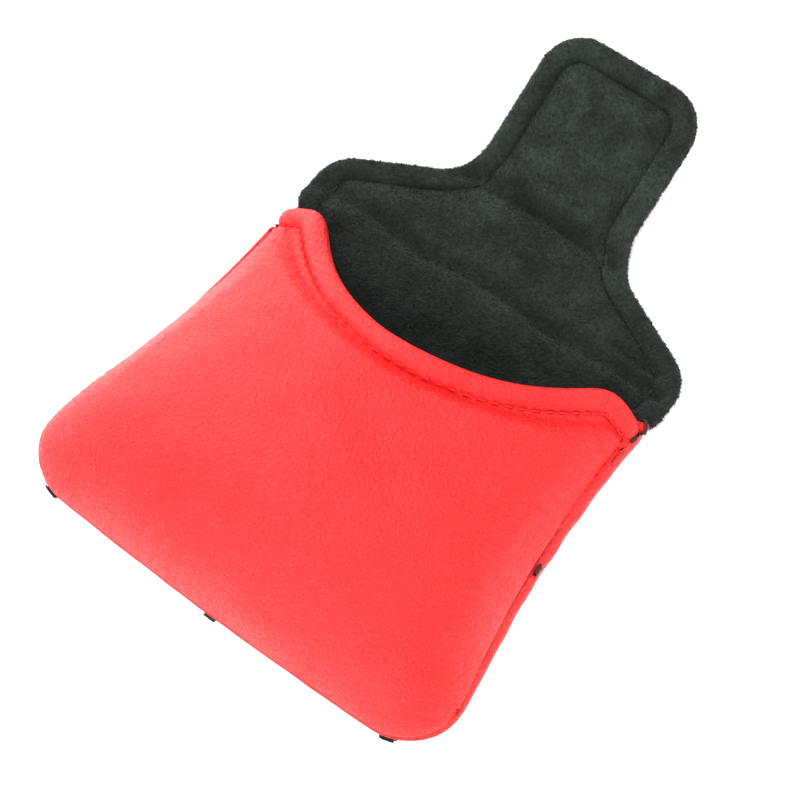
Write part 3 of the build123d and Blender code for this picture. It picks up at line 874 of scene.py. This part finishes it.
def makePlushPieces():
    # two bodies that meet in the middle of the shoulder; the one with the tongue lies turned up about the
    # tongue's fold
    lower = plushBody("lining_and_shoulder_plush", 8, splitY)
    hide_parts("back_lining", "flap_lining", "flap_edge_left", "flap_edge_right")
    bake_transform(lower)
    upper = plushBody("shoulder_and_tongue_plush", splitY, tipY)
    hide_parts("tongue_lining", "tongue_edge")
    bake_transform(upper)


def insetEdge(distance):
    # the flap's right-hand outline moved inwards
    run = np.gradient(edgeRight, axis=0)
    run /= np.linalg.norm(run, axis=1, keepdims=True)
    return edgeRight + np.stack([-run[:, 1], run[:, 0]], 1) * distance


def coverBody(name, low, high, depthLow, depthHigh, material, inset, cols=90):
    # a layer of the flap's middle: rows between the inset outlines, from one depth to another
    line = insetEdge(inset)
    line = line[line[:, 1] >= np.maximum.accumulate(line[:, 1]) - 1e-6]
    line = line[np.concatenate([[True], np.diff(line[:, 1]) > 1e-4])]
    end = tipY - inset
    ys = np.concatenate([np.linspace(foldA - 8, foldA - 2, 7)[:-1], line[:, 1]])
    ws = np.concatenate([np.full(6, line[0, 0]), line[:, 0]])
    y0, y1 = max(low, foldA - 8), min(high, end)
    inner = ys[(ys > y0 + 0.4) & (ys < y1 - 0.05)]
    rowsY = np.concatenate([[y0], inner, [y1]])
    rowsW = np.interp(rowsY, ys, ws)
    u = np.sin(np.linspace(-math.pi / 2, math.pi / 2, cols))
    x = rowsW[:, None] * u
    y = np.repeat(rowsY[:, None], cols, axis=1)
    edge = np.maximum(rowsW[:, None] - np.abs(x), 0)
    if high >= end:
        edge = np.minimum(edge, end - y)
    crown = 1 - np.sqrt(np.maximum(1 - (1 - np.clip(edge / 2.2, 0, 1)) ** 2, 0))
    zLow = depthLow + 1.1 * crown + 0.08 * ripple(x, y, 24, 51)
    zHigh = np.maximum(depthHigh + 0.3 * crown, zLow + 0.05)
    ring = np.concatenate([np.stack([x, y, zHigh], -1), np.stack([x, y, zLow], -1)[:, ::-1]], axis=1)
    ring = bendUp(ring)
    count = 2 * cols
    faces = np.concatenate([gridFaces(len(rowsY), count, ring=True), capFaces(0, count),
                            capFaces((len(rowsY) - 1) * count, count)])
    piece = addMesh(name, ring, faces, material)
    mendMesh(piece, sharpAngle=60)
    return piece


cover = dict(low=0.15, high=1.35, foamLow=1.6, foamHigh=2.7, foamInset=8.6, intoPouch=8.0, foamStart=1.0)


def makeCovers():
    # leather and foam of the shoulder and the tongue
    for name, low, high, z0, z1, material, inset, nodes, slot, pair, fold in (
            ("shoulder_leather", foldA - cover["intoPouch"], splitY, cover["low"], cover["high"], leather,
             flap["leatherInset"], ["flap_cover"], "red_leather", ("pouch", "flap"), foldA),
            ("tongue_leather", splitY, tipY, cover["low"], cover["high"], leather,
             flap["leatherInset"], ["tongue_cover"], "red_leather", ("flap", "tongue"), foldB),
            ("shoulder_foam", foldA + cover["foamStart"], splitY, cover["foamLow"], cover["foamHigh"],
             foamMaterial, cover["foamInset"], ["flap_foam"], "padding", ("pouch", "flap"), foldA),
            ("tongue_foam_pad", splitY, tipY, cover["foamLow"], cover["foamHigh"],
             foamMaterial, cover["foamInset"], ["tongue_foam"], "padding", ("flap", "tongue"), foldB)):
        piece = coverBody(name, low, high, z0, z1, material, inset)
        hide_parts(*nodes)
        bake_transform(piece)


makePlushPieces()
makeCovers()
print("flap made")


# thread on the flap, at the seam and on the back

channelThread = dict(pitch=3.4, length=2.3, radius=0.3)
seamThread = dict(pitch=4.5, length=1.7, radius=0.22, under=1.5, slant=0.35)


def channelStitches(name, low, high, node):
    # black stitches sunk in the plush channel
    line = insetEdge(flap["rollWidth"] + 0.1)
    length = np.concatenate([[0], np.cumsum(np.linalg.norm(np.diff(line, axis=0), axis=1))])
    spots = np.arange(1.5, length[-1], channelThread["pitch"])
    right = np.stack([np.interp(spots, length, line[:, k]) for k in range(2)], 1)
    run = np.stack([np.interp(spots, length, np.gradient(line[:, k])) for k in range(2)], 1)
    tipX = np.arange(-edgeRight[-1, 0] + 1.7, edgeRight[-1, 0], channelThread["pitch"])
    tip = np.stack([tipX, np.full(len(tipX), tipY - flap["rollWidth"] - 0.1)], 1)
    plan = np.concatenate([right, right * [-1, 1], tip])
    way = np.concatenate([run, run * [-1, 1], np.tile([[1.0, 0.0]], (len(tip), 1))])
    way /= np.linalg.norm(way, axis=1, keepdims=True)
    keep = (plan[:, 1] > low + 1.2) & (plan[:, 1] < high - (1.2 if high < tipY else 0))
    plan, way = plan[keep], way[keep]
    z = flap["padTop"] - flap["channelDepth"] - 0.05
    middles = np.concatenate([plan, np.full((len(plan), 1), z)], 1)
    ends = np.concatenate([way, np.zeros((len(plan), 1))], 1)
    tipPoint = bendUp(middles + ends * 0.01)
    at = bendUp(middles)
    along = tipPoint - at
    along /= np.linalg.norm(along, axis=1, keepdims=True)
    up = bendUp(middles + [0, 0, 0.01]) - at
    up /= np.linalg.norm(up, axis=1, keepdims=True)
    piece = addStitches(name, at, along, up, channelThread["length"], channelThread["radius"], blackThread,
                        None, node)
    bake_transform(piece)


def seamPath():
    # places along the side seam with the outward direction: up one side, round the end, down the other
    s = np.concatenate([np.full(90, -1.0), np.sin(np.linspace(-math.pi / 2, math.pi / 2, 240))[1:-1],
                        np.full(90, 1.0)])
    t = np.concatenate([np.linspace(1, 0, 90), np.zeros(238), np.linspace(0, 1, 90)])
    x, y = toPlan(s, t, mouthLine)
    line = np.stack([x, y], 1)
    length = np.concatenate([[0], np.cumsum(np.linalg.norm(np.diff(line, axis=0), axis=1))])
    at = np.arange(4.0, length[-1] - 4.0, seamThread["pitch"])
    p = np.stack([np.interp(at, length, line[:, k]) for k in range(2)], 1)
    q = np.stack([np.interp(at + 0.5, length, line[:, k]) for k in range(2)], 1)
    along = (q - p) / np.linalg.norm(q - p, axis=1, keepdims=True)
    out = np.stack([along[:, 1], -along[:, 0]], 1) * -1
    out *= np.sign((out * (p - [0, 50])).sum(1, keepdims=True))
    return p, along, out


def makeSeamThread():
    # blind stitches across the valley of the side seam
    p, along, out = seamPath()
    middles = np.concatenate([p - out * seamThread["under"], seamLevel(p[:, 1:])], 1)
    slant = np.concatenate([along * seamThread["slant"], np.ones((len(p), 1))], 1)
    slant /= np.linalg.norm(slant, axis=1, keepdims=True)
    up = np.concatenate([out, np.zeros((len(p), 1))], 1)
    addStitches("side_seam_stitches", middles, slant, up, seamThread["length"], seamThread["radius"],
                redThread, "pouch", "side_seam_thread", sag=0.3)


trim = dict(width=3.3, height=0.5, hubY=57.0, hub=3.6,
            ends=((60.2, 57), (-58.8, 57), (56, -1.2), (-56, -1.2), (0, -2), (60, 104), (-57.5, 102)))


def makeTrim():
    # satin-stitched lines: flat rounded bands from a hub to the seam, laid on the back's surface
    rings, faces, first = [], [], 0
    across = np.linspace(-1, 1, 9)
    for endX, endY in trim["ends"]:
        run = np.array([endX, endY - trim["hubY"]])
        reach = np.linalg.norm(run)
        way = run / reach
        side = np.array([-way[1], way[0]])
        f = np.sin(np.linspace(0, math.pi / 2, 160))
        base = np.array([0, trim["hubY"]]) + way * (f * reach)[:, None]
        plan = base[:, None] + side * (across * trim["width"] / 2)[None, :, None]
        s, t = toUV(plan[..., 0], plan[..., 1], backTop)
        s, t = np.clip(s, -0.9997, 0.9997), np.clip(t, 0.005, 1)
        p, n = backSurface(s, t)
        thread = 1 + 0.12 * np.cos(math.tau * f * reach / 0.8)[:, None]
        out = trim["height"] * (1 - across ** 4)[None, :] * thread - 0.05
        outer = p + n * out[..., None]
        inner = p - n * 0.5
        ring = np.concatenate([outer, inner[:, ::-1]], 1)
        count = ring.shape[1]
        body = np.concatenate([gridFaces(len(f), count, ring=True), capFaces(0, count),
                               capFaces((len(f) - 1) * count, count)])
        rings.append(ring.reshape(-1, 3))
        faces.append(body + first)
        first += len(rings[-1])
    turn, r = np.meshgrid(np.linspace(0, math.tau, 49), np.linspace(0, 1, 9))
    hub = np.stack([trim["hub"] * r * np.cos(turn), trim["hubY"] + trim["hub"] * r * np.sin(turn),
                    0.35 - 0.4 * (1 - r ** 4)], -1)
    rings.append(hub.reshape(-1, 3))
    faces.append(gridFaces(9, 49) + first)
    piece = addMesh("back_satin_lines", np.concatenate(rings), np.concatenate(faces), satinThread)
    mendMesh(piece)
    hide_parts("back_trim")
    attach(piece, "pouch")


tack = dict(reach=4.2, tab=1.5, loop=1.95, thread=0.38, rightWay=(0.78, 0.56, -0.28),
            leftWay=(-0.4, 0.35, -0.85))


def makeBartacks():
    # at each mouth corner the binding's end is a small tab, tied down by two loops of black thread:
    # the tab is a tapering tube from the corner outwards, and each loop a ring round it
    ring = np.linspace(0, math.tau, 25)
    for side, name in ((-1, "mouth_bartack_left"), (1, "mouth_bartack_right")):
        start = np.array([side * (planHalf(mouthY) - 3.8) + 1.7, mouthY - 2.6 + side * 1.4, 6.6])
        way = np.array(tack["rightWay"] if side > 0 else tack["leftWay"])
        way /= np.linalg.norm(way)
        u = np.cross(way, [0, 0, 1.0])
        u /= np.linalg.norm(u)
        v = np.cross(u, way)
        spokes = np.cos(ring)[:, None] * u + np.sin(ring)[:, None] * v * 0.75
        f = np.linspace(0, 1, 13)
        size = tack["tab"] * (1 - 0.25 * f) * np.sqrt(np.maximum(1 - (2 * f - 1) ** 8, 0.002))
        tab = start + way * (f * tack["reach"])[:, None, None] + spokes[None] * size[:, None, None]
        faces = np.concatenate([gridFaces(13, 25), capFaces(0, 24), capFaces(12 * 25, 24)])
        piece = addMesh(name + "_tab", tab, faces, leather)
        mendMesh(piece)
        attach(piece, "pouch")
        loops, loopFaces = [], []
        small = np.linspace(0, math.tau, 9)
        for k, (at, lean) in enumerate(((0.55, 0.25), (0.72, -0.2))):
            centre = start + way * tack["reach"] * at
            radial = (np.cos(ring)[:, None] * u + np.sin(ring)[:, None] * v * 0.8
                      + way * lean * np.sin(ring)[:, None])
            out = radial / np.linalg.norm(radial, axis=1, keepdims=True)
            core = centre + radial * tack["loop"] * (1 - 0.1 * k)
            tube = core[:, None] + tack["thread"] * (np.cos(small)[None, :, None] * out[:, None]
                                                     + np.sin(small)[None, :, None] * way)
            loops.append(tube.reshape(-1, 3))
            loopFaces.append(gridFaces(25, 9) + k * 225)
        piece = addMesh(name + "_thread", np.concatenate(loops), np.concatenate(loopFaces), blackThread)
        mendMesh(piece)
        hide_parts(name)
        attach(piece, "pouch")


magnets = dict(radius=4.5, frontY=66.8, fromTip=11.4)


def makeMagnets():
    # a disc and the cloth patch over it in each pocket: circles carried through a rounded profile
    s, t = toUV(np.array([[0.0]]), np.array([[magnets["frontY"]]]), mouthLine)
    spread = np.array([-0.01, 0, 0.01])
    p, n = frontSurface(*np.meshgrid(s[0, 0] + spread, t[0, 0] + spread))
    frontPoint, frontWay = p[1, 1], -n[1, 1]
    flat = np.array([[0.0, tipY - magnets["fromTip"], 1.5]])
    tonguePoint = bendUp(flat)[0]
    tongueWay = bendUp(flat + [0, 0, 1])[0] - tonguePoint
    turn = np.linspace(0, math.tau, 41)[:-1]
    for name, node, point, way, depth, thick, material, slot, body in (
            ("front_magnet_disc", "front_magnet", frontPoint, frontWay, 1.4, 1.2, nickel, "magnet", "pouch"),
            ("front_pocket_cloth", "front_magnet_patch", frontPoint, frontWay, 2.6, 0.3, pocketCloth,
             "pocket_cloth", "pouch"),
            ("tongue_magnet_disc", "tongue_magnet", tonguePoint, tongueWay, 0.0, 1.0, nickel, "magnet",
             "tongue"),
            ("tongue_pocket_cloth", "tongue_magnet_patch", tonguePoint, tongueWay, 1.0, 0.2, pocketCloth,
             "pocket_cloth", "tongue")):
        r = magnets["radius"]
        profile = np.array([[0.001, 0], [r - 0.2, 0], [r, 0.2 * thick], [r, 0.8 * thick], [r - 0.2, thick],
                            [0.001, thick]])
        way = way / np.linalg.norm(way)
        a = np.array([1.0, 0, 0]) - way * way[0]
        a /= np.linalg.norm(a)
        b = np.cross(way, a)
        spokes = np.cos(turn)[:, None] * a + np.sin(turn)[:, None] * b
        points = point + profile[:, None, :1] * spokes + (profile[:, None, 1:] + depth) * way
        count = len(turn)
        faces = np.concatenate([gridFaces(len(profile), count, ring=True), capFaces(0, count),
                                capFaces((len(profile) - 1) * count, count)])
        piece = addMesh(name, points, faces, material)
        mendMesh(piece, sharpAngle=40)
        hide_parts(node)
        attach(piece, body)


channelStitches("shoulder_channel_thread", foldA, splitY, "flap_stitching")
channelStitches("tongue_channel_thread", splitY, tipY, "tongue_stitching")
makeSeamThread()
makeTrim()
makeBartacks()
makeMagnets()
print("thread made")


# floor, light and camera

room = dict(glow=0.36, floorGlow=0.5, floorHalf=20, floorDrop=0.0002)
lights = dict(leftBox=dict(place=(-0.95, 0.38, 0.42), size=0.6, power=7.6),
              frontBox=dict(place=(0.12, -0.82, 0.55), size=0.7, power=9.4),
              rightBox=dict(place=(0.7, 0.4, 0.62), size=0.6, power=2.8),
              topBox=dict(place=(-0.35, 0.25, 1.2), size=0.75, power=11.0))


def makeFloor():
    # a pale matt table that glows a little, so that it stays even and near white
    material, _, shader, _ = startMaterial("paleFloor", Roughness=0.9)
    shader.inputs["Base Color"].default_value = linear("FBFBFB")
    shader.inputs["Emission Color"].default_value = (1, 1, 1, 1)
    shader.inputs["Emission Strength"].default_value = room["floorGlow"]
    mesh = bpy.data.meshes.new("floor")
    far, down = room["floorHalf"], -room["floorDrop"]
    mesh.from_pydata([(-far, -far, down), (far, -far, down), (far, far, down), (-far, far, down)], [],
                     [(0, 1, 2, 3)])
    mesh.materials.append(material)
    floor = bpy.data.objects.new("floor", mesh)
    bpy.context.scene.collection.objects.link(floor)


def addLight(name, place, size, power):
    # a square soft box, facing the middle of the object
    lamp = bpy.data.lights.new(name, "AREA")
    lamp.shape = "SQUARE"
    lamp.size, lamp.energy = size, power
    holder = bpy.data.objects.new(name, lamp)
    holder.location = place
    holder.rotation_euler = (-Vector(place)).to_track_quat("-Z", "Y").to_euler()
    bpy.context.scene.collection.objects.link(holder)


view = dict(azimuth=36.9, elevation=63.1, distance=584, target=(1.0, 77.0, 0.0), lens=99.45)


def makeCamera():
    # a point on a sphere about the target, looking at it
    azimuth, elevation = math.radians(view["azimuth"]), math.radians(view["elevation"])
    target = Vector((view["target"][0], view["target"][1] + originY, view["target"][2])) * mm
    away = Vector((math.sin(azimuth) * math.cos(elevation), -math.cos(azimuth) * math.cos(elevation),
                   math.sin(elevation)))
    camera = bpy.data.objects.new("camera", bpy.data.cameras.new("camera"))
    camera.data.lens = view["lens"]
    camera.data.clip_start = 0.01
    camera.location = target + away * view["distance"] * mm
    camera.rotation_euler = (-away).to_track_quat("-Z", "Y").to_euler()
    bpy.context.scene.collection.objects.link(camera)
    bpy.context.scene.camera = camera


world = bpy.data.worlds.new("studio")
bpy.context.scene.world = world
world.use_nodes = True
world.node_tree.nodes["Background"].inputs["Color"].default_value = (1, 1, 1, 1)
world.node_tree.nodes["Background"].inputs["Strength"].default_value = room["glow"]
makeFloor()
for name, light in lights.items():
    addLight(name, **light)
makeCamera()
bpy.context.scene.view_settings.view_transform = "Standard"
print("stage made")
